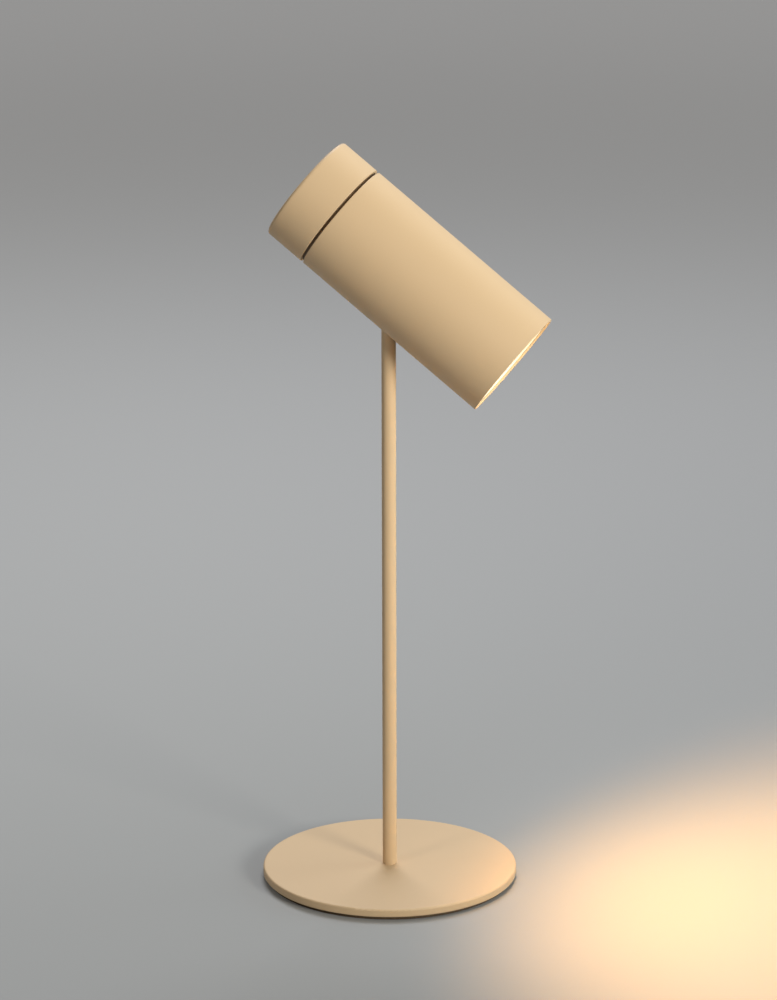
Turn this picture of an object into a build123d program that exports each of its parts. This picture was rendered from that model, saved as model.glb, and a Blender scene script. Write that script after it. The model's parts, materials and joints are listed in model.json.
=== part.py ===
from build123d import *
from math import asin, cos, degrees, radians, sin, tan
import os

# Tabletop searchlight lamp: a tubular head that tilts and swivels on a thin stem, with a rotary
# dimmer as its rear cap, on a flat round base.
# Frame: origin at the centre of the base's underside, +Z up the stem, the head points along +X.
# Along the head, distances run forward from the tilt pin. Lengths are in millimetres.

# ---- Play and fits -----------------------------------------------------------------------
run_gap = 0.05  # between faces that turn on each other
seat_gap = 0.05  # between pieces that are screwed, brazed or pressed together

# ---- Base --------------------------------------------------------------------------------
base_radius = 81.0
base_thickness = 5.3
base_edge_round = 1.2
pad_thickness = 2.5
pad_setback = 2.5  # the pad stops this far inside the disc's edge
channel_width = 7.0  # cable channel under the disc, from the rear edge to the stem
channel_depth = 4.0
cable_bore_radius = 2.6
grommet_length = 8.0
grommet_lip = 1.6  # how far the grommet's inner collar reaches past the channel's sides
grommet_lip_length = 2.0
grommet_inset = 0.4  # the grommet's mouth sits this far inside the disc's edge
grommet_lift = 0.2  # the grommet clears the table by this much
flange_radius = 22.0
flange_thickness = 2.0
flange_screw_offset = 14.0
flange_screw_count = 3
flange_screw_length = 3.8

# ---- Stem and swivel ---------------------------------------------------------------------
stem_radius = 4.5
stem_wall = 1.0
notch_half = 2.4  # half width of the lead notch in the stem's foot
pin_height = 369.5  # tilt pin above the table
plug_wall = 0.9
plug_length = 14.0
spigot_wall = 0.9
swivel_washer_thickness = 0.5
swivel_limit = 150.0  # degrees each way
stop_play = 1.0  # degrees that the stop pin keeps from the tooth at each limit
stop_pin_radius = 0.6
stop_depth = 0.4  # depth of the groove that the stop pin runs in
clip_thickness = 0.6
clip_width = 1.1
clip_opening = 80.0  # degrees
eye_radius = 6.0
neck_length = 2.0  # straight neck between the knuckle's eye and its foot
neck_flat = 0.2  # depth of the flats on the neck's sides

# ---- Tilt joint --------------------------------------------------------------------------
tilt_angle = 38.2  # head below the horizontal, as it stands
nose_down_limit = 60.0  # head below the horizontal at the front end of its slot
nose_up_limit = 15.0  # head above the horizontal at the rear end of its slot
pin_to_wall = 10.5  # tilt pin to the outside of the shell's underside
pin_radius = 2.0
washer_margin = 0.5  # the friction washers are this much smaller than the eye
ear_thickness = 2.0
ear_margin = 0.5  # the ears are rounded this much larger than the eye
ear_foot_half = 10.4  # half width of an ear where it meets the saddle
bolt_head_radius = 3.6
bolt_head_height = 2.2
bolt_head_round = 0.5
bolt_socket_radius = 1.5
bolt_socket_depth = 1.2
bolt_tail = 0.5  # how far the bolt reaches past its nut
tilt_nut_radius = 4.0
tilt_nut_thickness = 3.2
spring_washer_radius = 3.6
spring_washer_thickness = 1.0
saddle_thickness = 2.0
saddle_spread = 26.0  # degrees each side of the slot
saddle_margin = 7.0  # past each end of the slot
rivet_radius = 1.5
rivet_head_radius = 2.7
rivet_spread = 20.0  # degrees each side of the slot
slot_end_play = 0.8
slot_side_play = 0.8

# ---- Head shell, rear cap and front ------------------------------------------------------
head_radius = 36.0
shell_wall = 1.5
head_front = 80.5  # rim ahead of the pin
shell_rear = -58.15
groove_width = 1.9
cap_length = 27.0
cap_wall = 2.0
cap_rear_wall = 2.5
cap_edge_round = 2.0
rim_round = 0.4
baffle_inset = 1.5  # the baffle's front edge behind the rim
baffle_wall = 0.9  # at its thin front edge
diffuser_inset = 12.0  # the diffuser's face behind the rim
diffuser_thickness = 2.5
diffuser_rebate = 2.4  # radial wall of the baffle around the diffuser
diffuser_lip = 1.6  # how far the baffle's lip reaches over the diffuser
diffuser_ring_thickness = 1.2
diffuser_ring_width = 1.8
diffuser_ring_opening = 24.0  # degrees

# ---- Bulkhead and dimmer -----------------------------------------------------------------
bulkhead_inset = 1.6  # bulkhead behind the shell's rear edge
bulkhead_thickness = 3.0
collar_gap = 0.6  # between the bulkhead's collar and the cap's inside
collar_wall = 1.0
collar_overlap = 5.0  # how far the collar reaches into the cap
mounting_ring_width = 7.5
mounting_ring_thickness = 4.0
bulkhead_screw_count = 3
dimmer_width = 26.0
dimmer_height = 28.0
dimmer_depth = 16.0
bush_radius = 4.5
bush_length = 9.0
dimmer_nut_radius = 7.2
dimmer_nut_thickness = 2.5
shaft_radius = 3.0
shaft_flat = 2.0  # flat of the D above the shaft's axis
shaft_spring_thickness = 0.4
shaft_depth = 4.0  # how far the shaft runs inside the dimmer
boss_radius = 7.0
boss_length = 14.5
shaft_end_gap = 2.0  # between the shaft's end and the cap's rear wall

# ---- Lamp, lampholder and wiring ---------------------------------------------------------
bulb_length = 47.5
bulb_radius = 25.0
bulb_neck_radius = 12.0
bulb_neck_length = 11.9
bulb_collar_length = 9.5  # straight part behind the face
bulb_face_radius = 23.5
bulb_face_round = 1.9  # length of the bevel round the face
bulb_clearance = 3.2  # between the bulb's face and the ring behind the diffuser
bulb_pin_spacing = 10.0
bulb_pin_radius = 1.2
bulb_pin_head_radius = 2.4
bulb_pin_length = 7.0
bulb_pin_head_length = 1.9
bulb_seat_gap = 0.5  # between the lamp's base and the holder's face
holder_radius = 12.5
holder_length = 17.0
holder_screw_offset = 8.6
holder_screw_grip = 6.0  # how far the lampholder's screws reach into it
strap_thickness = 1.5
strap_width = 28.0
post_radius = 3.0
post_gap = 1.0  # between a post and the dimmer
post_hole_share = 0.2  # depth of a post's screw holes, as a share of its length
thread_share = 0.8  # a screw fills this share of its hole's depth
block_width = 18.0
block_height = 10.0
block_length = 13.0
block_offset = 3.6  # underside of the terminal block above the head's axis
block_corner_round = 1.2
clamp_radius = 1.6
clamp_screw_length = 4.0
lead_radius = 0.95
lead_bend = 5.7
lead_bend_share = 0.9  # a bend uses no more than this share of the room it has
lead_spacing = 3.8  # between the lampholder's two leads

# ---- Small screws: shank radius, head radius, head height --------------------------------
m3_radius = 1.5
m3_head_radius = 2.9
m3_head_height = 1.4
small_radius = 1.2
small_head_radius = 2.1
small_head_height = 1.4

# ---- Worked-out places -------------------------------------------------------------------
stem_inner = stem_radius - stem_wall
plug_radius = stem_inner - seat_gap
spigot_radius = plug_radius - plug_wall - run_gap
spigot_bore = spigot_radius - spigot_wall
neck_bottom = pin_height - eye_radius - neck_length
stem_top = neck_bottom - run_gap - swivel_washer_thickness
stem_foot = pad_thickness + flange_thickness / 2
plug_bottom = stem_top - plug_length
stop_height = stem_top - plug_length / 2
clip_top = plug_bottom - run_gap
spigot_bottom = clip_top - clip_thickness - spigot_wall
tongue_half = stem_radius - neck_flat  # half width of the eye and of the neck's flats
slot_half = stem_radius + slot_side_play
ear_inner = slot_half
ear_outer = ear_inner + ear_thickness
washer_inner = tongue_half + run_gap
washer_outer = ear_inner - seat_gap

shell_inner = head_radius - shell_wall
axis_above_pin = head_radius - pin_to_wall
seat_radius = shell_inner - seat_gap
saddle_inner = seat_radius - saddle_thickness
slot_front = pin_to_wall * tan(radians(nose_down_limit)) + stem_radius / cos(radians(nose_down_limit))
slot_front += slot_end_play
slot_rear = pin_to_wall * tan(radians(nose_up_limit)) + stem_radius / cos(radians(nose_up_limit))
slot_rear += slot_end_play

cap_front = shell_rear - groove_width
cap_rear = cap_front - cap_length
cap_inner = head_radius - cap_wall
cap_floor = cap_rear + cap_rear_wall
collar_outer = cap_inner - collar_gap
bulkhead_rear = shell_rear + bulkhead_inset
bulkhead_front = bulkhead_rear + bulkhead_thickness
ring_inner = seat_radius - mounting_ring_width
bulkhead_screw_offset = ring_inner + small_head_radius + 2 * seat_gap
dimmer_front = bulkhead_front + dimmer_depth
bush_end = bulkhead_front - bush_length
boss_front = cap_floor + boss_length
shaft_end = cap_floor + shaft_end_gap

diffuser_front = head_front - diffuser_inset
diffuser_rear = diffuser_front - diffuser_thickness
diffuser_radius = seat_radius - diffuser_rebate - seat_gap
baffle_rear = diffuser_rear - diffuser_ring_thickness - 2 * seat_gap
bulb_front = baffle_rear - bulb_clearance
bulb_base = bulb_front - bulb_length
holder_front = bulb_base - bulb_seat_gap
holder_rear = holder_front - holder_length
strap_rear = holder_rear - strap_thickness
post_offset = dimmer_width / 2 + post_gap + post_radius
block_rear = strap_rear - block_length

# ---- Planes of the head ------------------------------------------------------------------
pin_centre = Vector(0, 0, pin_height)
forward = Vector(cos(radians(tilt_angle)), 0, -sin(radians(tilt_angle)))
upward = Vector(sin(radians(tilt_angle)), 0, cos(radians(tilt_angle)))
head_centre = pin_centre + upward * axis_above_pin
head_axis = Axis(head_centre, forward)
# x runs along the head and y up from its axis, for profiles that are turned about the axis
lengthwise = Plane(origin=head_centre, x_dir=forward, z_dir=(0, -1, 0))
# the same, standing on the tilt pin, for the profiles of the tilt joint
pin_side = Plane(origin=pin_centre, x_dir=forward, z_dir=(0, -1, 0))
# looks along the tilt pin, towards +Y
pin_across = Plane(origin=pin_centre, x_dir=(1, 0, 0), z_dir=(0, 1, 0))
standing = (Align.CENTER, Align.CENTER, Align.MIN)


def across(distance):
    """Plane square to the head at a distance ahead of the pin: x runs to +Y and y up."""
    return Plane(origin=head_centre + forward * distance, x_dir=(0, 1, 0), z_dir=forward)


def around(distance, degrees_round):
    """Plane on the head's axis that faces out, at an angle round from the underside."""
    turn = radians(degrees_round)
    outward = Vector(0, 1, 0) * sin(turn) - upward * cos(turn)
    return Plane(origin=head_centre + forward * distance, x_dir=forward, z_dir=outward)


def place(distance, side, up, facing):
    """Plane at a point of the head, given ahead of the pin, across and up from the axis."""
    origin = head_centre + forward * distance + Vector(0, side, 0) + upward * up
    return Plane(origin=origin, x_dir=(0, 1, 0), z_dir=facing)


def pan_screws(heads, shank_length):
    """Small pan-head screws: the heads sit on the planes and the shanks run the other way."""
    with Locations(*heads):
        Cylinder(small_head_radius, small_head_height, align=standing)
        Cylinder(small_radius, shank_length, align=(Align.CENTER, Align.CENTER, Align.MAX))
        with Locations((0, 0, small_head_height)):
            Box(2 * small_radius, small_head_height / 3, small_head_height, mode=Mode.SUBTRACT)


def widest_edges(builder):
    """Circular edges on the largest radius of a turned piece."""
    return builder.edges().filter_by(GeomType.CIRCLE).group_by(SortBy.RADIUS)[-1]


# ==== Stand ===============================================================================
with BuildPart() as base_plate:
    with BuildSketch(Plane.XY.offset(pad_thickness)):
        Circle(base_radius)
    extrude(amount=base_thickness)
    fillet(base_plate.edges().sort_by(Axis.Z)[-1], base_edge_round)
    chamfer(base_plate.edges().sort_by(Axis.Z)[0], base_edge_round / 2)
    with BuildSketch(Plane.XY.offset(pad_thickness)):
        Circle(flange_radius + seat_gap)
    extrude(amount=flange_thickness + seat_gap, mode=Mode.SUBTRACT)
    with BuildSketch(Plane.XY.offset(pad_thickness)):
        Circle(stem_radius + seat_gap)
        with PolarLocations(flange_screw_offset, flange_screw_count):
            Circle(m3_radius + seat_gap)
    extrude(amount=flange_screw_length + 2 * seat_gap, mode=Mode.SUBTRACT)
    with BuildSketch(Plane.XY.offset(pad_thickness)):
        Circle(stem_radius + seat_gap)
    extrude(amount=base_thickness, mode=Mode.SUBTRACT)
    # channel for the mains lead, with a wider pocket for the grommet's collar
    with BuildSketch(Plane.XY.offset(pad_thickness)):
        with Locations((-base_radius / 2 - stem_radius, 0)):
            Rectangle(base_radius, channel_width)
        with Locations((-base_radius + grommet_inset + grommet_length, 0)):
            Rectangle(
                grommet_lip_length + 2 * seat_gap,
                channel_width + 2 * grommet_lip,
                align=(Align.MAX, Align.CENTER),
            )
    extrude(amount=channel_depth, mode=Mode.SUBTRACT)

with BuildPart() as base_pad:
    with BuildSketch():
        Circle(base_radius - pad_setback)
        with Locations((-flange_radius, 0)):
            Rectangle(
                base_radius, channel_width, align=(Align.MAX, Align.CENTER), mode=Mode.SUBTRACT
            )
        with Locations((-base_radius + grommet_inset + grommet_length, 0)):
            Rectangle(
                2 * grommet_length,
                channel_width + 2 * grommet_lip + 2 * seat_gap,
                align=(Align.MAX, Align.CENTER),
                mode=Mode.SUBTRACT,
            )
    extrude(amount=pad_thickness)

grommet_top = pad_thickness + channel_depth - seat_gap
cable_height = (grommet_lift + grommet_top) / 2
with BuildPart() as cable_grommet:
    with BuildSketch(Plane.XY.offset(grommet_lift)):
        with Locations((-base_radius + grommet_inset, 0)):
            Rectangle(
                grommet_length, channel_width - 2 * seat_gap, align=(Align.MIN, Align.CENTER)
            )
        with Locations((-base_radius + grommet_inset + grommet_length - seat_gap, 0)):
            Rectangle(
                grommet_lip_length,
                channel_width + 2 * grommet_lip - 2 * seat_gap,
                align=(Align.MAX, Align.CENTER),
            )
    extrude(amount=grommet_top - grommet_lift)
    inlet = Plane(origin=(-base_radius, 0, cable_height), x_dir=(0, 1, 0), z_dir=(1, 0, 0))
    with BuildSketch(inlet):
        Circle(cable_bore_radius)
    extrude(amount=grommet_inset + grommet_length, mode=Mode.SUBTRACT)

with BuildPart() as stem_flange:
    with BuildSketch(Plane.XY.offset(pad_thickness)):
        Circle(flange_radius)
        Circle(stem_radius + seat_gap, mode=Mode.SUBTRACT)
        with Locations((-flange_radius / 2, 0)):
            Rectangle(flange_radius, channel_width, mode=Mode.SUBTRACT)
        with PolarLocations(flange_screw_offset, flange_screw_count):
            Circle(m3_radius + seat_gap, mode=Mode.SUBTRACT)
    extrude(amount=flange_thickness)
    with Locations(Plane.XY.offset(pad_thickness)):
        with PolarLocations(flange_screw_offset, flange_screw_count):
            Cone(
                m3_head_radius + seat_gap,
                m3_radius + seat_gap,
                m3_head_height,
                align=standing,
                mode=Mode.SUBTRACT,
            )

with BuildPart() as flange_screws:
    with Locations(Plane.XY.offset(pad_thickness)):
        with PolarLocations(flange_screw_offset, flange_screw_count):
            Cone(m3_head_radius, m3_radius, m3_head_height, align=standing)
            Cylinder(m3_radius, flange_screw_length, align=standing)
    with BuildSketch(Plane.XY.offset(pad_thickness)):
        with PolarLocations(flange_screw_offset, flange_screw_count):
            RegularPolygon(m3_radius, 6)
    extrude(amount=m3_head_height / 2, mode=Mode.SUBTRACT)

with BuildPart() as stem_tube:
    with BuildSketch(Plane.XY.offset(stem_foot)):
        Circle(stem_radius)
        Circle(stem_inner, mode=Mode.SUBTRACT)
    extrude(amount=stem_top - stem_foot)
    # the leads enter through a notch in the rear of the foot, level with the channel
    with BuildSketch(Plane.XY.offset(stem_foot)):
        Rectangle(2 * stem_radius, 2 * notch_half, align=(Align.MAX, Align.CENTER))
    extrude(amount=pad_thickness + channel_depth - stem_foot, mode=Mode.SUBTRACT)

with BuildPart() as stem_plug:
    with BuildSketch(Plane.XY.offset(plug_bottom)):
        Circle(plug_radius)
        Circle(spigot_radius + run_gap, mode=Mode.SUBTRACT)
    extrude(amount=plug_length)
    with BuildSketch(Plane(origin=(0, 0, stop_height), x_dir=(0, 1, 0), z_dir=(-1, 0, 0))):
        Circle(stop_pin_radius + seat_gap)
    extrude(amount=stem_radius, mode=Mode.SUBTRACT)

stop_inner = spigot_radius - stop_depth + run_gap
with BuildPart() as swivel_stop_pin:
    stop_plane = Plane(origin=(-stop_inner, 0, stop_height), x_dir=(0, 1, 0), z_dir=(-1, 0, 0))
    with BuildSketch(stop_plane):
        Circle(stop_pin_radius)
    extrude(amount=plug_radius - seat_gap - stop_inner)

with BuildPart() as swivel_washer:
    with BuildSketch(Plane.XY.offset(stem_top)):
        Circle(stem_radius)
        Circle(spigot_radius + run_gap, mode=Mode.SUBTRACT)
    extrude(amount=swivel_washer_thickness)

# ==== Swivel ==============================================================================
# The stop groove runs all round the spigot but for a tooth at the front, which meets the pin.
pin_half_angle = degrees(asin((stop_pin_radius + run_gap) / stop_inner))
tooth_half_angle = 180 - swivel_limit - pin_half_angle - stop_play
groove_half = stop_pin_radius + 4 * run_gap

with BuildPart() as swivel_knuckle:
    with BuildSketch(Plane.XY.offset(neck_bottom)):
        Circle(stem_radius)
        Rectangle(2 * stem_radius, 2 * tongue_half, mode=Mode.INTERSECT)
    extrude(amount=pin_height - neck_bottom)
    with BuildSketch(pin_across.offset(-tongue_half)):
        Circle(eye_radius)
    extrude(amount=2 * tongue_half)
    with BuildSketch(Plane.XY.offset(spigot_bottom)):
        Circle(spigot_radius)
    extrude(amount=neck_bottom - spigot_bottom)
    # the leads come up the bore and leave through a notch at the rear, below the pin
    with BuildSketch(Plane.XY.offset(spigot_bottom)):
        Circle(spigot_bore)
    extrude(amount=neck_bottom - spigot_bottom + neck_length, mode=Mode.SUBTRACT)
    with BuildSketch(Plane.XY.offset(neck_bottom)):
        Rectangle(2 * stem_radius, 2 * spigot_bore, align=(Align.MAX, Align.CENTER))
    extrude(amount=neck_length, mode=Mode.SUBTRACT)
    # stop groove
    tooth_side = Vector(cos(radians(tooth_half_angle)), sin(radians(tooth_half_angle)), 0)
    groove_start = Plane(
        origin=(0, 0, stop_height), x_dir=tooth_side, z_dir=tooth_side.cross(Vector(0, 0, 1))
    )
    with BuildSketch(groove_start):
        with Locations((spigot_radius - stop_depth, 0)):
            Rectangle(2 * stop_depth, 2 * groove_half, align=(Align.MIN, Align.CENTER))
    revolve(axis=Axis.Z, revolution_arc=360 - 2 * tooth_half_angle, mode=Mode.SUBTRACT)
    # groove of the retaining clip
    with BuildSketch(Plane.XY.offset(clip_top - clip_thickness - run_gap)):
        Circle(2 * spigot_radius)
        Circle(spigot_radius - stop_depth, mode=Mode.SUBTRACT)
    extrude(amount=clip_thickness + run_gap, mode=Mode.SUBTRACT)
    # bore of the tilt pin
    with BuildSketch(pin_across.offset(-eye_radius)):
        Circle(pin_radius + run_gap)
    extrude(amount=2 * eye_radius, mode=Mode.SUBTRACT)

clip_inner = spigot_radius - stop_depth + seat_gap
with BuildPart() as swivel_clip:
    with BuildSketch(Plane.XY.offset(clip_top - clip_thickness - run_gap / 2)):
        Circle(clip_inner + clip_width)
        Circle(clip_inner, mode=Mode.SUBTRACT)
        with BuildLine():
            gap_edge = 2 * spigot_radius
            gap_side = gap_edge * tan(radians(clip_opening / 2))
            Polyline((0, 0), (gap_edge, gap_side), (gap_edge, -gap_side), close=True)
        make_face(mode=Mode.SUBTRACT)
    extrude(amount=clip_thickness)

# ==== Head shell and tilt joint ===========================================================
slot_length = slot_front + slot_rear
slot_middle = (slot_front - slot_rear) / 2
underside = around(slot_middle, 0)
rivet_places = [
    around(along, side * rivet_spread)
    for along in (slot_middle - slot_length / 3, slot_middle + slot_length / 3)
    for side in (-1, 1)
]
rivet_face = (head_radius**2 - (rivet_head_radius + seat_gap) ** 2) ** 0.5 - seat_gap
rivet_sink = rivet_head_radius - rivet_radius

with BuildPart() as head_shell:
    with BuildSketch(across(shell_rear)):
        Circle(head_radius)
        Circle(shell_inner, mode=Mode.SUBTRACT)
    extrude(amount=head_front - shell_rear)
    rims = head_shell.edges().filter_by(GeomType.CIRCLE)
    fillet(rims, rim_round)
    with BuildSketch(underside.offset(saddle_inner)):
        SlotOverall(slot_length, 2 * slot_half)
    extrude(amount=2 * shell_wall + saddle_thickness, mode=Mode.SUBTRACT)
    with Locations(*[place.offset(saddle_inner) for place in rivet_places]):
        Cylinder(rivet_radius + seat_gap, 3 * shell_wall, align=standing, mode=Mode.SUBTRACT)
    with Locations(*[place.offset(rivet_face) for place in rivet_places]):
        Cone(
            rivet_radius + seat_gap,
            rivet_head_radius + seat_gap,
            rivet_sink,
            align=(Align.CENTER, Align.CENTER, Align.MAX),
            mode=Mode.SUBTRACT,
        )
        Cylinder(rivet_head_radius + seat_gap, shell_wall, align=standing, mode=Mode.SUBTRACT)

ear_foot = saddle_inner + saddle_thickness / 2 - axis_above_pin
ear_radius = eye_radius + ear_margin
with BuildPart() as tilt_bracket:
    # saddle: a curved plate against the shell's inside, round the slot
    start = around(0, -saddle_spread)
    with BuildSketch(Plane(origin=head_centre, x_dir=forward, z_dir=forward.cross(start.z_dir))):
        with Locations((slot_middle, (saddle_inner + seat_radius) / 2)):
            Rectangle(slot_length + 2 * saddle_margin, saddle_thickness)
    revolve(axis=head_axis, revolution_arc=2 * saddle_spread)
    with BuildSketch(underside.offset(saddle_inner - saddle_thickness)):
        SlotOverall(slot_length, 2 * slot_half)
    extrude(amount=3 * saddle_thickness, mode=Mode.SUBTRACT)
    # ears: one each side of the slot, up to the tilt pin
    for ear_plane in (pin_side.offset(ear_inner), pin_side.offset(-ear_outer)):
        with BuildSketch(ear_plane):
            Circle(ear_radius)
            with BuildLine():
                Polyline(
                    (-ear_radius, 0),
                    (ear_radius, 0),
                    (ear_foot_half, -ear_foot),
                    (-ear_foot_half, -ear_foot),
                    close=True,
                )
            make_face()
            Circle(pin_radius + seat_gap, mode=Mode.SUBTRACT)
        extrude(amount=ear_thickness)
    with Locations(*[place.offset(saddle_inner - seat_gap) for place in rivet_places]):
        Cylinder(rivet_radius + seat_gap, 2 * saddle_thickness, align=standing, mode=Mode.SUBTRACT)

with BuildPart() as bracket_rivets:
    with Locations(*[place.offset(rivet_face) for place in rivet_places]):
        Cone(
            rivet_radius,
            rivet_head_radius,
            rivet_sink,
            align=(Align.CENTER, Align.CENTER, Align.MAX),
        )
    rivet_tail = saddle_inner - 2 * seat_gap
    with Locations(*[place.offset(rivet_tail) for place in rivet_places]):
        Cylinder(rivet_radius, rivet_face - rivet_tail, align=standing)
        Cylinder(
            rivet_head_radius, rivet_radius / 2, align=(Align.CENTER, Align.CENTER, Align.MAX)
        )

with BuildPart() as friction_washers:
    for washer_plane in (pin_across.offset(washer_inner), pin_across.offset(-washer_outer)):
        with BuildSketch(washer_plane):
            Circle(eye_radius - washer_margin)
            Circle(pin_radius + run_gap, mode=Mode.SUBTRACT)
        extrude(amount=washer_outer - washer_inner)

with BuildPart() as spring_washer:
    with BuildSketch(pin_across.offset(-ear_outer)):
        Circle(spring_washer_radius)
        Circle(pin_radius + seat_gap, mode=Mode.SUBTRACT)
    extrude(amount=-spring_washer_thickness)

nut_face = ear_outer + spring_washer_thickness
with BuildPart() as tilt_nut:
    with BuildSketch(pin_across.offset(-nut_face)):
        RegularPolygon(tilt_nut_radius, 6)
        Circle(pin_radius + seat_gap, mode=Mode.SUBTRACT)
    extrude(amount=-tilt_nut_thickness)

bolt_end = nut_face + tilt_nut_thickness + bolt_tail
with BuildPart() as tilt_bolt:
    with BuildSketch(pin_across.offset(-bolt_end)):
        Circle(pin_radius)
    extrude(amount=bolt_end + ear_outer)
    with BuildSketch(pin_across.offset(ear_outer)):
        Circle(bolt_head_radius)
    extrude(amount=bolt_head_height)
    fillet(tilt_bolt.edges().sort_by(Axis.Y)[-1], bolt_head_round)
    with BuildSketch(pin_across.offset(ear_outer + bolt_head_height)):
        RegularPolygon(bolt_socket_radius, 6)
    extrude(amount=-bolt_socket_depth, mode=Mode.SUBTRACT)

# ==== Front of the head ===================================================================
baffle_front = head_front - baffle_inset
lip_radius = diffuser_radius + seat_gap - diffuser_lip
with BuildPart() as front_baffle:
    with BuildSketch(lengthwise):
        with BuildLine():
            Polyline(
                (baffle_rear, seat_radius),
                (baffle_front, seat_radius),
                (baffle_front, seat_radius - baffle_wall),
                (diffuser_front + seat_gap, lip_radius),
                (diffuser_front + seat_gap, diffuser_radius + seat_gap),
                (baffle_rear, diffuser_radius + seat_gap),
                close=True,
            )
        make_face()
    revolve(axis=head_axis)

with BuildPart() as front_diffuser:
    with BuildSketch(across(diffuser_rear)):
        Circle(diffuser_radius)
    extrude(amount=diffuser_thickness)

with BuildPart() as diffuser_ring:
    with BuildSketch(across(diffuser_rear - diffuser_ring_thickness - seat_gap)):
        Circle(diffuser_radius)
        Circle(diffuser_radius - diffuser_ring_width, mode=Mode.SUBTRACT)
        with BuildLine():
            ring_side = head_radius * tan(radians(diffuser_ring_opening / 2))
            Polyline((0, 0), (ring_side, head_radius), (-ring_side, head_radius), close=True)
        make_face(mode=Mode.SUBTRACT)
    extrude(amount=diffuser_ring_thickness)

# ==== Lamp and its holder =================================================================
with BuildPart() as lamp_bulb:
    with BuildSketch(lengthwise):
        with BuildLine():
            flare_start = bulb_base + bulb_neck_length
            flare_end = bulb_front - bulb_collar_length
            foot = Polyline((bulb_front, 0), (bulb_base, 0), (bulb_base, bulb_neck_radius))
            neck = Line(foot @ 1, (flare_start, bulb_neck_radius))
            flare = Spline(
                neck @ 1,
                (flare_end, bulb_radius),
                tangents=((1, 0), (1, 0)),
                tangent_scalars=(0.6, 0.6),
            )
            rim = Line(flare @ 1, (bulb_front - bulb_face_round, bulb_radius))
            Polyline(rim @ 1, (bulb_front, bulb_face_radius), (bulb_front, 0))
        make_face()
    revolve(axis=head_axis)
    with BuildSketch(across(bulb_base)):
        with GridLocations(bulb_pin_spacing, 1, 2, 1):
            Circle(bulb_pin_radius)
    extrude(amount=-bulb_pin_length)
    with BuildSketch(across(bulb_base - bulb_pin_length)):
        with GridLocations(bulb_pin_spacing, 1, 2, 1):
            Circle(bulb_pin_head_radius)
    extrude(amount=bulb_pin_head_length)

holder_screw_length = strap_thickness + holder_screw_grip
with BuildPart() as lampholder:
    with BuildSketch(across(holder_rear)):
        Circle(holder_radius)
    extrude(amount=holder_length)
    with BuildSketch(across(holder_front)):
        with GridLocations(bulb_pin_spacing, 1, 2, 1):
            Circle(bulb_pin_head_radius + 2 * seat_gap)
    extrude(amount=-bulb_pin_length - 2 * seat_gap, mode=Mode.SUBTRACT)
    with BuildSketch(across(holder_rear)):
        with GridLocations(2 * holder_screw_offset, 1, 2, 1):
            Circle(small_radius + seat_gap)
    extrude(amount=holder_screw_length - strap_thickness + seat_gap, mode=Mode.SUBTRACT)

strap_half = post_offset + 2 * post_radius
lead_drop = -(block_offset + lead_radius)  # the lampholder's leads leave this far below the axis
with BuildPart() as holder_plate:
    with BuildSketch(across(strap_rear)):
        RectangleRounded(2 * strap_half, strap_width, post_radius)
        with GridLocations(2 * post_offset, 1, 2, 1):
            Circle(small_radius + seat_gap, mode=Mode.SUBTRACT)
        with GridLocations(2 * holder_screw_offset, 1, 2, 1):
            Circle(small_radius + seat_gap, mode=Mode.SUBTRACT)
        with Locations((0, lead_drop)):
            SlotOverall(lead_spacing + 4 * lead_radius, 3 * lead_radius, mode=Mode.SUBTRACT)
    extrude(amount=strap_thickness)

with BuildPart() as lampholder_screws:
    holder_screw_heads = [
        place(strap_rear - seat_gap, side * holder_screw_offset, 0, -forward) for side in (-1, 1)
    ]
    pan_screws(holder_screw_heads, holder_screw_length)

post_length = strap_rear - bulkhead_front
post_hole_depth = post_hole_share * post_length
with BuildPart() as support_posts:
    with BuildSketch(across(bulkhead_front)):
        with GridLocations(2 * post_offset, 1, 2, 1):
            RegularPolygon(post_radius, 6)
    extrude(amount=post_length)
    with BuildSketch(across(bulkhead_front)):
        with GridLocations(2 * post_offset, 1, 2, 1):
            Circle(small_radius + seat_gap)
    extrude(amount=post_hole_depth, mode=Mode.SUBTRACT)
    with BuildSketch(across(strap_rear)):
        with GridLocations(2 * post_offset, 1, 2, 1):
            Circle(small_radius + seat_gap)
    extrude(amount=-post_hole_depth, mode=Mode.SUBTRACT)

with BuildPart() as post_screws:
    sides = (-post_offset, post_offset)
    front_heads = [place(holder_rear + seat_gap, side, 0, forward) for side in sides]
    rear_heads = [place(bulkhead_rear - seat_gap, side, 0, -forward) for side in sides]
    pan_screws(front_heads, strap_thickness + thread_share * post_hole_depth)
    pan_screws(rear_heads, bulkhead_thickness + thread_share * post_hole_depth)

# ==== Terminal block and leads ============================================================
block_middle = strap_rear - block_length / 2
clamp_plane = place(block_middle, 0, block_offset + block_height, upward)
with BuildPart() as terminal_block:
    with BuildSketch(across(block_rear)):
        with Locations((0, block_offset + block_height / 2)):
            RectangleRounded(block_width, block_height, block_corner_round)
    extrude(amount=block_length)
    with BuildSketch(clamp_plane):
        with GridLocations(block_width / 3, block_length / 2, 3, 2):
            Circle(clamp_radius + seat_gap)
    extrude(amount=-block_height / 2, mode=Mode.SUBTRACT)

with BuildPart() as clamp_screws:
    with BuildSketch(clamp_plane.offset(-block_height / 2)):
        with GridLocations(block_width / 3, block_length / 2, 3, 2):
            Circle(clamp_radius)
    extrude(amount=clamp_screw_length)

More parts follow.
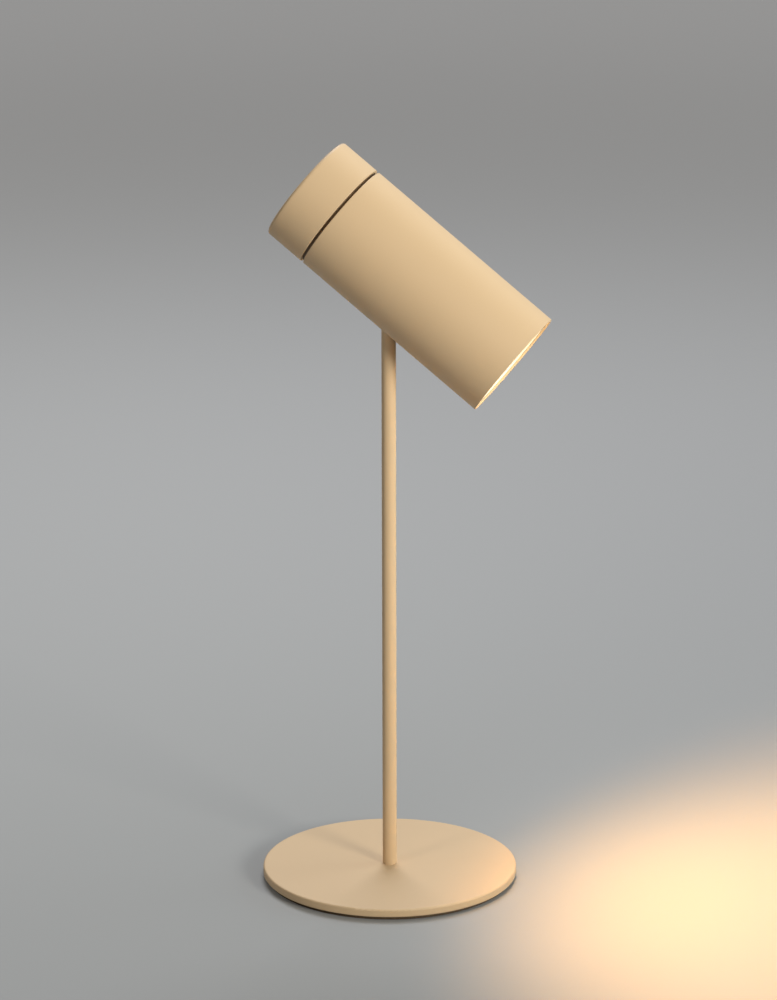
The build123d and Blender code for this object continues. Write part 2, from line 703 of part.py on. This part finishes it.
with BuildPart() as head_leads:
    # lampholder to the block's underside
    longest_bend = lead_bend_share * min(block_offset - lead_drop, holder_rear - block_middle)
    for side in (-1, 1):
        lead_side = lengthwise.offset(side * lead_spacing / 2)
        with BuildLine(lead_side) as holder_lead:
            FilletPolyline(
                (holder_rear, lead_drop),
                (block_middle, lead_drop),
                (block_middle, block_offset),
                radius=min(lead_bend, longest_bend),
            )
        with BuildSketch(Plane(origin=holder_lead.line @ 0, z_dir=holder_lead.line % 0)):
            Circle(lead_radius)
        sweep(path=holder_lead.line)
    # block to the dimmer's face
    with BuildSketch(across(dimmer_front)):
        with Locations((0, block_offset + block_height / 4)):
            with GridLocations(2 * block_width / 3, 1, 2, 1):
                Circle(lead_radius)
    extrude(amount=block_rear - dimmer_front)

# ==== Bulkhead and dimmer =================================================================
with BuildPart() as mounting_ring:
    with BuildSketch(across(bulkhead_front)):
        Circle(seat_radius)
        Circle(ring_inner, mode=Mode.SUBTRACT)
        with PolarLocations(bulkhead_screw_offset, bulkhead_screw_count, start_angle=90):
            Circle(small_radius + seat_gap, mode=Mode.SUBTRACT)
    extrude(amount=mounting_ring_thickness)

with BuildPart() as rear_bulkhead:
    with BuildSketch(across(bulkhead_rear)):
        Circle(seat_radius)
    extrude(amount=bulkhead_thickness)
    with BuildSketch(across(bulkhead_rear)):
        Circle(collar_outer)
        Circle(collar_outer - collar_wall, mode=Mode.SUBTRACT)
    extrude(amount=cap_front - collar_overlap - bulkhead_rear)
    with BuildSketch(across(bulkhead_rear)):
        Circle(bush_radius + seat_gap)
        with GridLocations(2 * post_offset, 1, 2, 1):
            Circle(small_radius + seat_gap)
        with PolarLocations(bulkhead_screw_offset, bulkhead_screw_count, start_angle=90):
            Circle(small_radius + seat_gap)
    extrude(amount=bulkhead_thickness, mode=Mode.SUBTRACT)

with BuildPart() as bulkhead_screws:
    screw_heads = []
    for index in range(bulkhead_screw_count):
        turn = radians(90 + 360 * index / bulkhead_screw_count)
        side = bulkhead_screw_offset * cos(turn)
        screw_heads.append(
            place(bulkhead_rear - seat_gap, side, bulkhead_screw_offset * sin(turn), -forward)
        )
    pan_screws(screw_heads, bulkhead_thickness + thread_share * mounting_ring_thickness)

with BuildPart() as dimmer_body:
    with BuildSketch(across(bulkhead_front)):
        RectangleRounded(dimmer_width, dimmer_height, bush_radius / 3)
    extrude(amount=dimmer_depth)
    with BuildSketch(across(bulkhead_front)):
        Circle(bush_radius)
    extrude(amount=-bush_length)
    with BuildSketch(across(bush_end)):
        Circle(shaft_radius + run_gap)
    extrude(amount=bush_length + shaft_depth + run_gap, mode=Mode.SUBTRACT)

with BuildPart() as dimmer_nut:
    with BuildSketch(across(bulkhead_rear)):
        RegularPolygon(dimmer_nut_radius, 6)
        Circle(bush_radius + seat_gap, mode=Mode.SUBTRACT)
    extrude(amount=-dimmer_nut_thickness)

# ==== Knob ================================================================================
with BuildPart() as rear_cap:
    with BuildSketch(lengthwise):
        with BuildLine():
            Polyline(
                (cap_rear, 0),
                (cap_rear, head_radius),
                (cap_front, head_radius),
                (cap_front, cap_inner),
                (cap_floor, cap_inner),
                (cap_floor, boss_radius),
                (boss_front, boss_radius),
                (boss_front, 0),
                close=True,
            )
        make_face()
    revolve(axis=head_axis)
    fillet(widest_edges(rear_cap).sort_by(head_axis)[0], cap_edge_round)
    fillet(widest_edges(rear_cap).sort_by(head_axis)[-1], rim_round)
    # D-shaped bore of the boss
    with BuildSketch(across(shaft_end - run_gap)):
        Circle(shaft_radius + seat_gap)
        with Locations((0, shaft_flat + shaft_spring_thickness + 2 * seat_gap)):
            Rectangle(
                4 * shaft_radius, 2 * shaft_radius, align=(Align.CENTER, Align.MIN), mode=Mode.SUBTRACT
            )
    extrude(amount=boss_front - shaft_end + run_gap, mode=Mode.SUBTRACT)

flat_length = boss_front - shaft_end
with BuildPart() as dimmer_shaft:
    with BuildSketch(across(shaft_end)):
        Circle(shaft_radius)
    extrude(amount=bulkhead_front + shaft_depth - shaft_end)
    with BuildSketch(across(shaft_end)):
        with Locations((0, shaft_flat)):
            Rectangle(4 * shaft_radius, 2 * shaft_radius, align=(Align.CENTER, Align.MIN))
    extrude(amount=flat_length, mode=Mode.SUBTRACT)

with BuildPart() as shaft_spring:
    with BuildSketch(across(shaft_end + seat_gap)):
        with Locations((0, shaft_flat + seat_gap)):
            Rectangle(shaft_radius, shaft_spring_thickness, align=(Align.CENTER, Align.MIN))
    extrude(amount=flat_length - 2 * seat_gap)

# ==== Write one file for each piece =======================================================
pieces = {
    "base_plate": base_plate,
    "base_pad": base_pad,
    "cable_grommet": cable_grommet,
    "stem_flange": stem_flange,
    "flange_screws": flange_screws,
    "stem_tube": stem_tube,
    "stem_plug": stem_plug,
    "swivel_stop_pin": swivel_stop_pin,
    "swivel_washer": swivel_washer,
    "swivel_knuckle": swivel_knuckle,
    "swivel_clip": swivel_clip,
    "head_shell": head_shell,
    "tilt_bracket": tilt_bracket,
    "bracket_rivets": bracket_rivets,
    "friction_washers": friction_washers,
    "spring_washer": spring_washer,
    "tilt_nut": tilt_nut,
    "tilt_bolt": tilt_bolt,
    "front_baffle": front_baffle,
    "front_diffuser": front_diffuser,
    "diffuser_ring": diffuser_ring,
    "lamp_bulb": lamp_bulb,
    "lampholder": lampholder,
    "lampholder_screws": lampholder_screws,
    "holder_plate": holder_plate,
    "support_posts": support_posts,
    "post_screws": post_screws,
    "terminal_block": terminal_block,
    "clamp_screws": clamp_screws,
    "head_leads": head_leads,
    "mounting_ring": mounting_ring,
    "rear_bulkhead": rear_bulkhead,
    "bulkhead_screws": bulkhead_screws,
    "dimmer_body": dimmer_body,
    "dimmer_nut": dimmer_nut,
    "rear_cap": rear_cap,
    "dimmer_shaft": dimmer_shaft,
    "shaft_spring": shaft_spring,
}
os.makedirs("parts", exist_ok=True)
for name, piece in pieces.items():
    piece.part.label = name
    export_step(piece.part, f"parts/{name}.step")
print("pieces:", len(pieces))
print("tilt pin at", tuple(pin_centre), "head axis", tuple(forward), "through", tuple(head_centre))
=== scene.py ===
import json
from math import cos, pi, radians, sin
import bmesh
import bpy
import numpy as np
from mathutils import Matrix, Vector


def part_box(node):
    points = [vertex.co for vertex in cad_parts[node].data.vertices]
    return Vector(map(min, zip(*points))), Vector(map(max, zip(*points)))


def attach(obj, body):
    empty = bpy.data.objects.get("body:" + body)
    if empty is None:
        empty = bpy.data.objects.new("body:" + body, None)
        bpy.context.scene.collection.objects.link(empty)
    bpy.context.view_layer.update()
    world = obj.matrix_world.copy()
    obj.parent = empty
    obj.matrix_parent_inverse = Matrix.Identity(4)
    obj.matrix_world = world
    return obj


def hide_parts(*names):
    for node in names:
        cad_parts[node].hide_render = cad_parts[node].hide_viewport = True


# Searchlight lamp: a tilting, turning tube head with a dimmer cap, on a thin stem and a round base.
# Lengths are in metres. Places along the head are measured forward from the point on its axis
# above the tilt pin, where the dimmer's joint stands.

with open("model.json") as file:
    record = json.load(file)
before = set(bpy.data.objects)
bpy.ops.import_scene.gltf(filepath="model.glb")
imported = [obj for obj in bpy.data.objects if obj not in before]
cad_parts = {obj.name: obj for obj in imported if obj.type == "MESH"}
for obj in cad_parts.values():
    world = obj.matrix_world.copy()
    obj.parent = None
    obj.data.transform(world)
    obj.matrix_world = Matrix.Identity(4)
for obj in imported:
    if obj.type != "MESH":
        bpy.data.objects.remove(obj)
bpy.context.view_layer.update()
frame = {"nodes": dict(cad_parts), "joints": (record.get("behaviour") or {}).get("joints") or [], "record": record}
nodes = frame["nodes"]
joints = {joint["name"]: joint for joint in frame["joints"]}
print("frame loaded:", len(nodes), "nodes")

millimetre = 0.001
headCentre = np.array(joints["dimmer_turn"]["pos_m"], float)
forward = np.array(joints["dimmer_turn"]["axis"], float)
forward /= np.linalg.norm(forward)


def nodePoints(name):
    # the CAD node's corner points as rows of x, y, z
    points = np.empty(3 * len(nodes[name].data.vertices), np.float32)
    nodes[name].data.vertices.foreach_get("co", points)
    return points.reshape(-1, 3).astype(float)


def headReach(name):
    # how far forward a node reaches along the head's axis, and how far out from it
    offset = nodePoints(name) - headCentre
    along = offset @ forward
    radius = np.linalg.norm(offset - np.outer(along, forward), axis=1)
    return along.max(), radius.max()


diffuserFront, diffuserEdge = headReach("front_diffuser")


def linear(*shades):
    # a colour written as 0 to 255 display values, as linear light by the sRGB curve
    part = np.array(shades) / 255
    return tuple(np.where(part > 0.04045, ((part + 0.055) / 1.055) ** 2.4, part / 12.92).tolist())


def newObject(name, data):
    # an object at the origin, linked to the scene
    made = bpy.data.objects.new(name, data)
    bpy.context.scene.collection.objects.link(made)
    return made


# Finishes

class Flow:
    # a socket of a node tree, so that shader maths reads as sums

    def __init__(self, finish, socket):
        self.finish = finish
        self.socket = socket

    def __add__(self, other):
        return self.finish.maths("ADD", self, other)

    def __radd__(self, other):
        return self.finish.maths("ADD", other, self)

    def __sub__(self, other):
        return self.finish.maths("SUBTRACT", self, other)

    def __rsub__(self, other):
        return self.finish.maths("SUBTRACT", other, self)

    def __mul__(self, other):
        return self.finish.maths("MULTIPLY", self, other)

    def __rmul__(self, other):
        return self.finish.maths("MULTIPLY", other, self)

    def __truediv__(self, other):
        return self.finish.maths("DIVIDE", self, other)

    def __pow__(self, other):
        return self.finish.maths("POWER", self, other)


class Finish:
    # a material and its nodes

    def __init__(self, name):
        self.material = bpy.data.materials.new(name)
        self.material.use_nodes = True
        self.tree = self.material.node_tree
        self.tree.nodes.clear()
        self.place = self.node("ShaderNodeTexCoord", output="Object")

    def node(self, kind, settings=None, sockets=None, output=0):
        # a node with its settings and then its sockets filled, as the flow out of it
        made = self.tree.nodes.new(kind)
        for key, value in (settings or {}).items():
            setattr(made, key, value)
        for key, value in (sockets or {}).items():
            if isinstance(value, Flow):
                self.tree.links.new(value.socket, made.inputs[key])
            else:
                made.inputs[key].default_value = value
        return Flow(self, made.outputs[output]) if made.outputs else made

    def maths(self, operation, first, second):
        return self.node("ShaderNodeMath", {"operation": operation}, {0: first, 1: second})

    def vector(self, operation, sockets, output=0):
        return self.node("ShaderNodeVectorMath", {"operation": operation}, sockets, output)

    def clamped(self, value):
        # held between 0 and 1
        return self.node("ShaderNodeClamp", {}, {"Value": value})

    def noise(self, size, detail=2.0, stretch=(1, 1, 1)):
        # soft random spots about size across, from 0 to 1
        place = self.node("ShaderNodeMapping", {}, {"Vector": self.place, "Scale": stretch})
        sockets = {"Vector": place, "Scale": 1 / size, "Detail": detail}
        return self.node("ShaderNodeTexNoise", {}, sockets)

    def cells(self, size):
        # distance to the nearest of many scattered points, about size apart
        return self.node("ShaderNodeTexVoronoi", {}, {"Vector": self.place, "Scale": 1 / size})

    def blend(self, amount, low, high):
        # the colour between low and high: a Mix node's sockets 6 and 7, and its output 2
        ends = {6: (*low, 1), 7: (*high, 1)}
        return self.node("ShaderNodeMix", {"data_type": "RGBA"}, {"Factor": amount, **ends}, 2)

    def bump(self, height, depth, strength):
        sockets = {"Height": height, "Distance": depth, "Strength": strength}
        return self.node("ShaderNodeBump", {}, sockets)

    def output(self, surface):
        # the finished material
        self.node("ShaderNodeOutputMaterial", {}, {"Surface": surface})
        return self.material

    def shader(self, sockets):
        return self.output(self.node("ShaderNodeBsdfPrincipled", {}, sockets))


powderCoatLook = {
    "shade": linear(221, 190, 149),
    "darkerShade": linear(214, 183, 142),
    "patchSize": 60 * millimetre,
    "patchShare": 0.6,  # the rest of the change in shade comes from the specks
    "speckSize": 0.5 * millimetre,
    "grainSize": 0.9 * millimetre,
    "grainDetail": 3,
    "grainDepth": 0.05 * millimetre,
    "grainStrength": 0.25,
    "roughness": 0.58,
    "roughnessSpread": 0.12,
}


def powderCoat(look=powderCoatLook):
    # matte sprayed paint: faint patches and specks over a fine orange-peel grain
    finish = Finish("powderCoat")
    patch = finish.noise(look["patchSize"])
    speck = finish.noise(look["speckSize"])
    grain = finish.noise(look["grainSize"], look["grainDetail"])
    amount = finish.clamped(look["patchShare"] * patch + (1 - look["patchShare"]) * speck)
    return finish.shader({
        "Base Color": finish.blend(amount, look["darkerShade"], look["shade"]),
        "Roughness": look["roughness"] + look["roughnessSpread"] * (speck - 0.5),
        "Normal": finish.bump(grain, look["grainDepth"], look["grainStrength"]),
    })


foamLook = {
    "shade": linear(100, 82, 62),
    # painted shade: the colour the pores get where the bump sinks them
    "paintedPoreShade": linear(64, 52, 39),
    "poreSize": 0.7 * millimetre,
    "poreContrast": 1.6,
    "poreDepth": 0.15 * millimetre,
    "poreStrength": 0.8,
    "roughness": 0.95,
}


def foam(look=foamLook):
    # closed-cell foam: pores sunk between walls, with painted shade darkening the pores on the same mask as the
    # bump
    finish = Finish("foam")
    wall = finish.clamped(look["poreContrast"] * finish.cells(look["poreSize"]))
    return finish.shader({
        # painted shade in the pores, darker towards each cell's middle
        "Base Color": finish.blend(wall, look["paintedPoreShade"], look["shade"]),
        "Roughness": look["roughness"],
        "Normal": finish.bump(wall, look["poreDepth"], look["poreStrength"]),
    })


mouldedLook = {
    "patchSize": 12 * millimetre,
    "darkest": 0.9,  # share of the shade that is left in the darkest patch
    "grainSize": 0.3 * millimetre,
    "grainDepth": 0.02 * millimetre,
    "grainStrength": 0.5,
    "roughnessSpread": 0.12,
}


def moulded(name, shade, roughness, look=mouldedLook):
    # moulded plastic, rubber or ceramic: an even colour under a fine spark-eroded grain
    finish = Finish(name)
    grain = finish.noise(look["grainSize"])
    patch = finish.clamped(finish.noise(look["patchSize"]))
    darker = tuple(look["darkest"] * part for part in shade)
    return finish.shader({
        "Base Color": finish.blend(patch, darker, shade),
        "Roughness": roughness + look["roughnessSpread"] * (grain - 0.5),
        "Normal": finish.bump(grain, look["grainDepth"], look["grainStrength"]),
    })


metalLook = {
    "patchSize": 8 * millimetre,
    "darkest": 0.82,  # share of the shade that is left in the darkest patch
    "scratchSize": 0.15 * millimetre,
    "scratchStretch": (1, 1, 0.04),  # the streaks run along Z
    "scratchDepth": 0.004 * millimetre,
    "scratchStrength": 0.4,
    "roughnessSpread": 0.16,
}


def metal(name, shade, roughness, look=metalLook):
    # turned, stamped or plated metal: short streaks in its shine
    finish = Finish(name)
    streak = finish.noise(look["scratchSize"], stretch=look["scratchStretch"])
    patch = finish.clamped(finish.noise(look["patchSize"]))
    darker = tuple(look["darkest"] * part for part in shade)
    return finish.shader({
        "Base Color": finish.blend(patch, darker, shade),
        "Metallic": 1.0,
        "Roughness": roughness + look["roughnessSpread"] * (streak - 0.5),
        "Normal": finish.bump(streak, look["scratchDepth"], look["scratchStrength"]),
    })


diffuserLook = {
    "shade": linear(250, 244, 232),
    "middleGlow": linear(255, 226, 178),
    "rimGlow": linear(255, 196, 120),
    "glowStrength": 0.75,
    "frostSize": 0.4 * millimetre,
    "frostDepth": 0.02 * millimetre,
    "frostStrength": 0.3,
    "roughness": 0.45,
    "roughnessSpread": 0.1,
}


def opalDiffuser(look=diffuserLook):
    # opal plastic lit from behind: its glow turns from the middle's shade to the rim's with the
    # square of the distance from the head's axis, which is the length of (point - centre) x axis
    finish = Finish("opalDiffuser")
    offset = finish.vector("SUBTRACT", {0: finish.place, 1: headCentre.tolist()})
    cross = finish.vector("CROSS_PRODUCT", {0: offset, 1: forward.tolist()})
    outward = finish.vector("LENGTH", {0: cross}, "Value") / diffuserEdge
    fall = finish.clamped(outward ** 2)
    frost = finish.noise(look["frostSize"])
    return finish.shader({
        "Base Color": (*look["shade"], 1),
        "Roughness": look["roughness"] + look["roughnessSpread"] * (frost - 0.5),
        "Emission Color": finish.blend(fall, look["middleGlow"], look["rimGlow"]),
        "Emission Strength": look["glowStrength"],
        "Normal": finish.bump(frost, look["frostDepth"], look["frostStrength"]),
    })


finishes = {
    "powder_coat": powderCoat(),
    "foam": foam(),
    "grommet_rubber": moulded("grommetRubber", linear(44, 38, 33), 0.7),
    "zinc_steel": metal("zincSteel", linear(200, 200, 196), 0.38),
    "spring_steel": metal("springSteel", linear(150, 150, 152), 0.32),
    "brass": metal("brass", linear(214, 184, 118), 0.28),
    "nylon": moulded("nylon", linear(236, 233, 220), 0.45),
    "white_baffle": moulded("whiteBaffle", linear(238, 231, 216), 0.6),
    "opal_diffuser": opalDiffuser(),
    "bulb_body": moulded("bulbBody", linear(240, 239, 234), 0.25),
    "ceramic": moulded("ceramic", linear(236, 232, 222), 0.8),
    "dark_plastic": moulded("darkPlastic", linear(132, 108, 80), 0.6),
    "terminal_plastic": moulded("terminalPlastic", linear(232, 232, 220), 0.4),
    "lead_insulation": moulded("leadInsulation", linear(226, 226, 222), 0.5),
    "aluminium": metal("aluminium", linear(214, 214, 216), 0.35),
}

for subpart in frame["record"]["subparts"]:
    slots = nodes[subpart["node"]].data.materials
    slots.clear()
    slots.append(finishes[subpart["material_slot"]])
print("finishes made:", len(finishes))

# Foam pad under the base

padLook = {
    "slotEnd": -22 * millimetre,  # the lead's slot runs from the rear edge to here
    "slotHalf": 3.5 * millimetre,
    "pocketEnd": -72.6 * millimetre,  # the wider pocket for the inlet runs to here
    "pocketHalf": 5.15 * millimetre,
    "cornerRound": 0.8 * millimetre,
    "edgeRound": 0.7 * millimetre,  # the cut edge bellies out by this much
    "roundLimit": 0.25,  # but by no more than this share of the width between the edges
    "outlineSteps": 240,
    "cornerSteps": 7,
    "edgeSteps": 9,
    "flatSteps": 12,
}


def readAlong(places, marks, points):
    # points given at rising marks, read at other places by straight lines between them
    return np.stack([np.interp(places, marks, points[:, k]) for k in (0, 1)], axis=1)


def padOutline(radius, look=padLook):
    # two rows of points side by side: the outer circle and the slot's edge, both from the mouth's
    # +Y corner to its -Y corner, so that a straight line joins each pair without crossing another
    mouth = np.arcsin(look["pocketHalf"] / radius)
    turn = np.linspace(pi - mouth, mouth - pi, look["outlineSteps"])
    outer = radius * np.stack((np.cos(turn), np.sin(turn)), axis=1)
    pocket, half, corner = look["pocketHalf"], look["slotHalf"], look["cornerRound"]
    bend = np.linspace(0, pi / 2, look["cornerSteps"])
    arc = corner * np.stack((np.sin(bend), np.cos(bend)), axis=1)
    pocketCorner = np.array((look["pocketEnd"] - corner, pocket - corner)) + arc
    slotCorner = np.array((look["slotEnd"] - corner, half - corner)) + arc
    upper = np.concatenate((outer[:1], pocketCorner, [[look["pocketEnd"], half]], slotCorner))
    corners = np.concatenate((upper, upper[::-1] * (1, -1)))
    # both rows get a point at each even step of the walk round the slot, and one at each corner
    walked = np.append(0, np.cumsum(np.linalg.norm(np.diff(corners, axis=0), axis=1)))
    even = np.linspace(0, walked[-1], look["outlineSteps"])
    stops = np.unique(np.concatenate((even, walked)))
    order = np.arange(len(corners))
    inner = readAlong(np.interp(stops, walked, order), order, corners)
    outer = readAlong(stops / walked[-1], np.linspace(0, 1, len(outer)), outer)
    outer *= (radius / np.linalg.norm(outer, axis=1))[:, None]
    return outer, inner


def makePad(look=padLook):
    # point(u, v) = slot edge(u) + reach(v) * (outer edge(u) - slot edge(u)), at height(v):
    # v runs out along the underside, up the bellied cut edge, back over the top and down the slot
    low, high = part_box("base_pad")
    radius, thick = high[0], high[2] - low[2]
    outer, inner = padOutline(radius, look)
    width = np.linalg.norm(outer - inner, axis=1)
    swing = np.linspace(-pi / 2, pi / 2, look["edgeSteps"])
    belly = look["edgeRound"] * (1 - np.cos(swing))
    rise = low[2] + thick * (0.5 + 0.5 * np.sin(swing))
    across = np.linspace(0, 1, look["flatSteps"] + 2)[1:-1]
    bulge = np.minimum(look["edgeRound"], look["roundLimit"] * width)[:, None] / look["edgeRound"]
    nearZero = 1e-9  # the two edges meet at the mouth's corners
    span = np.maximum(width, nearZero)[:, None]
    outward = np.broadcast_to(across, (len(width), len(across)))
    reach = np.concatenate(
        (outward, 1 - bulge * belly / span, outward[:, ::-1], bulge * belly[::-1] / span), axis=1
    )
    level = np.concatenate((low[2] + 0 * across, rise, high[2] + 0 * across, rise[::-1]))
    flat = inner[:, None] + reach[..., None] * (outer - inner)[:, None]
    tall = np.broadcast_to(level, reach.shape)[..., None]
    return np.concatenate((flat, tall), axis=2)


def gridMesh(name, points, material, mergeWithin=1e-7, sharpFrom=50):
    # a tube of quads from rows of rings; the first and the last ring are each closed to a line
    rows, columns = points.shape[:2]
    index = np.arange(rows * columns).reshape(rows, columns)
    beside = np.roll(index, -1, axis=1)
    quads = np.stack((index[:-1], beside[:-1], beside[1:], index[1:]), axis=2).reshape(-1, 4)
    mesh = bpy.data.meshes.new(name)
    mesh.from_pydata(points.reshape(-1, 3).tolist(), [], quads.tolist())
    mesh.materials.append(material)
    shape = bmesh.new()
    shape.from_mesh(mesh)
    bmesh.ops.remove_doubles(shape, verts=shape.verts, dist=mergeWithin)
    bmesh.ops.recalc_face_normals(shape, faces=shape.faces)
    shape.to_mesh(mesh)
    shape.free()
    mesh.shade_smooth()
    mesh.set_sharp_from_angle(angle=radians(sharpFrom))
    return newObject(name, mesh)


foamPad = gridMesh("foamPad", makePad(), finishes["foam"])
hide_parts("base_pad")
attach(foamPad, "stand")
print("foam pad made")

# Camera, floor and lights

cameraSet = {
    "place": (0.5614, -2.0191, 0.8175),
    "heading": 15.547,  # degrees left of straight along +Y
    "dip": 15.187,  # degrees below the horizon
    "roll": -0.125,  # degrees
    "lens": 125.39,  # millimetres, as the sensor is
    "sensorWidth": 36,
}


def placeCamera(settings=cameraSet):
    data = bpy.data.cameras.new("camera")
    data.lens = settings["lens"]
    data.sensor_width = settings["sensorWidth"]
    camera = newObject("camera", data)
    heading, dip = radians(settings["heading"]), radians(settings["dip"])
    ahead = Vector((-sin(heading) * cos(dip), cos(heading) * cos(dip), -sin(dip)))
    level = ahead.cross(Vector((0, 0, 1))).normalized()
    right = Matrix.Rotation(radians(settings["roll"]), 3, -ahead) @ level
    up = right.cross(ahead)
    camera.matrix_world = Matrix((right, up, -ahead)).transposed().to_4x4()
    camera.location = settings["place"]
    bpy.context.scene.camera = camera


placeCamera()

stageLook = {
    "floorRadius": 3.6,
    "sweepRadius": 1.5,
    "sweepSteps": 17,
    "wallHeight": 3.4,
    "sides": 96,
    "shade": linear(167, 167, 165),
    "farGlow": linear(133, 133, 134),  # added to what is seen of it, most of all far away
    "glowReach": 4.0,
    "glowBend": 0.75,
}


def stageMesh(look):
    # a round floor whose edge curves up into a wall: the profile (radius, height) turned about
    # the Z axis, with a fan of triangles over the middle
    arc = np.linspace(0, pi / 2, look["sweepSteps"])
    radius = look["floorRadius"] + look["sweepRadius"] * np.sin(arc)
    radius = np.append(radius, radius[-1])
    height = np.append(look["sweepRadius"] * (1 - np.cos(arc)), look["wallHeight"])
    sides = look["sides"]
    turns = np.linspace(0, 2 * pi, sides, endpoint=False)
    ring = np.stack((np.cos(turns), np.sin(turns)), axis=1)
    flat = radius[:, None, None] * ring
    tall = np.broadcast_to(height[:, None, None], flat.shape[:2] + (1,))
    rings = np.concatenate((flat, tall), axis=2).reshape(-1, 3)
    points = np.concatenate((np.zeros((1, 3)), rings))
    column = np.arange(sides)
    beside = (column + 1) % sides
    fan = np.stack((0 * column, 1 + column, 1 + beside), axis=1)
    start = 1 + sides * np.arange(len(radius) - 1)[:, None]
    over = start + sides
    quads = np.stack((start + column, over + column, over + beside, start + beside), axis=2)
    mesh = bpy.data.meshes.new("stageFloor")
    mesh.from_pydata(points.tolist(), [], fan.tolist() + quads.reshape(-1, 4).tolist())
    mesh.shade_smooth()
    return mesh


def stageFinish(look):
    # grey paint with a glow that only the camera, gloss and glass see, and that grows with
    # (distance from the lamp's foot / glowReach) to the power of glowBend
    finish = Finish("stageFloor")
    away = finish.vector("LENGTH", {0: finish.place}, "Value")
    far = finish.clamped(away / look["glowReach"]) ** look["glowBend"]
    rays = ("Is Camera Ray", "Is Glossy Ray", "Is Transmission Ray")
    camera, gloss, glass = (finish.node("ShaderNodeLightPath", output=ray) for ray in rays)
    seen = finish.clamped(camera + gloss + glass)
    paint = finish.node("ShaderNodeBsdfDiffuse", {}, {"Color": (*look["shade"], 1)})
    haze = finish.blend(far * seen, (0, 0, 0), look["farGlow"])
    glow = finish.node("ShaderNodeEmission", {}, {"Color": haze, "Strength": 1.0})
    return finish.output(finish.node("ShaderNodeAddShader", {}, {0: paint, 1: glow}))


def layStage(look=stageLook):
    floor = newObject("stageFloor", stageMesh(look))
    floor.data.materials.append(stageFinish(look))


layStage()

# A lamp with a cone is a spot, and one without is a disc. Angles are in degrees, and size is from
# edge to edge. high is how far above the table's middle a studio lamp aims, and away is how far
# off it stands from there: turn is from the front towards the right, and rise from level.
lampSet = {
    "key": {
        "turn": 56, "rise": 9, "away": 2.0, "high": 0.42,
        "cone": 40, "softEdge": 1, "size": 0.6, "power": 149, "shade": (1, 0.99, 0.93),
    },
    "fill": {
        "turn": -31, "rise": 30, "away": 2.0, "high": 0.3,
        "size": 0.4, "power": 3.8, "shade": (1, 1, 1),
    },
    "side": {
        "turn": 120, "rise": 12, "away": 2.0, "high": 0.38,
        "cone": 44, "softEdge": 1, "size": 1.2, "power": 68, "shade": (0.76, 0.92, 1),
    },
    "back": {
        "turn": 195, "rise": 55, "away": 2.0, "high": 0.2,
        "size": 1.1, "power": 27, "shade": (0.88, 0.92, 1),
    },
}


def makeLamp(name, lamp, place, way):
    # a light at place that shines along way
    data = bpy.data.lights.new(name, "SPOT" if "cone" in lamp else "AREA")
    if "cone" in lamp:
        data.spot_size = radians(lamp["cone"])
        data.spot_blend = lamp["softEdge"]
        data.shadow_soft_size = lamp["size"] / 2
    else:
        data.shape = "DISK"
        data.size = lamp["size"]
    data.energy = lamp["power"]
    data.color = lamp["shade"]
    light = newObject(name, data)
    light.location = place
    light.rotation_mode = "QUATERNION"
    light.rotation_quaternion = way.to_track_quat("-Z", "Y")
    light.visible_camera = False
    return light


def hangLamps(lamps=lampSet):
    for name, lamp in lamps.items():
        turn, rise = radians(lamp["turn"]), radians(lamp["rise"])
        outward = Vector((sin(turn) * cos(rise), -cos(turn) * cos(rise), sin(rise)))
        place = Vector((0, 0, lamp["high"])) + outward * lamp["away"]
        makeLamp(name, lamp, place, -outward)


hangLamps()

beamSet = {
    "beam": {
        "ahead": 13 * millimetre,  # in front of the diffuser, just out of the head
        "cone": 120, "softEdge": 0.8,
        "size": 40 * millimetre, "power": 13.7, "shade": (1, 0.52, 0.14),
    },
    "spill": {  # weaker, paler light round the beam
        "ahead": 13 * millimetre,
        "cone": 150, "softEdge": 1,
        "size": 40 * millimetre, "power": 1.4, "shade": (1, 1, 1),
    },
    "glow": {  # a soft disc that lights the baffle and the rim
        "ahead": 2 * millimetre,
        "size": 56 * millimetre, "power": 0.018, "shade": (1, 0.76, 0.38),
    },
}


def castBeam(lamps=beamSet):
    # the lamp's own light: each hangs on the head's axis and moves with the head
    for name, lamp in lamps.items():
        place = Vector(headCentre + (diffuserFront + lamp["ahead"]) * forward)
        light = makeLamp(name, lamp, place, Vector(forward))
        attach(light, "head")


castBeam()

worldLook = {
    "shade": (1, 0.95, 0.85),
    "strength": 0.25,
}


def lightWorld(look=worldLook):
    # faint even light from all round
    world = bpy.data.worlds.new("world")
    world.use_nodes = True
    background = world.node_tree.nodes["Background"].inputs
    background["Color"].default_value = (*look["shade"], 1)
    background["Strength"].default_value = look["strength"]
    bpy.context.scene.world = world


lightWorld()
bpy.context.scene.view_settings.view_transform = "Standard"
print("camera, floor and lights placed")
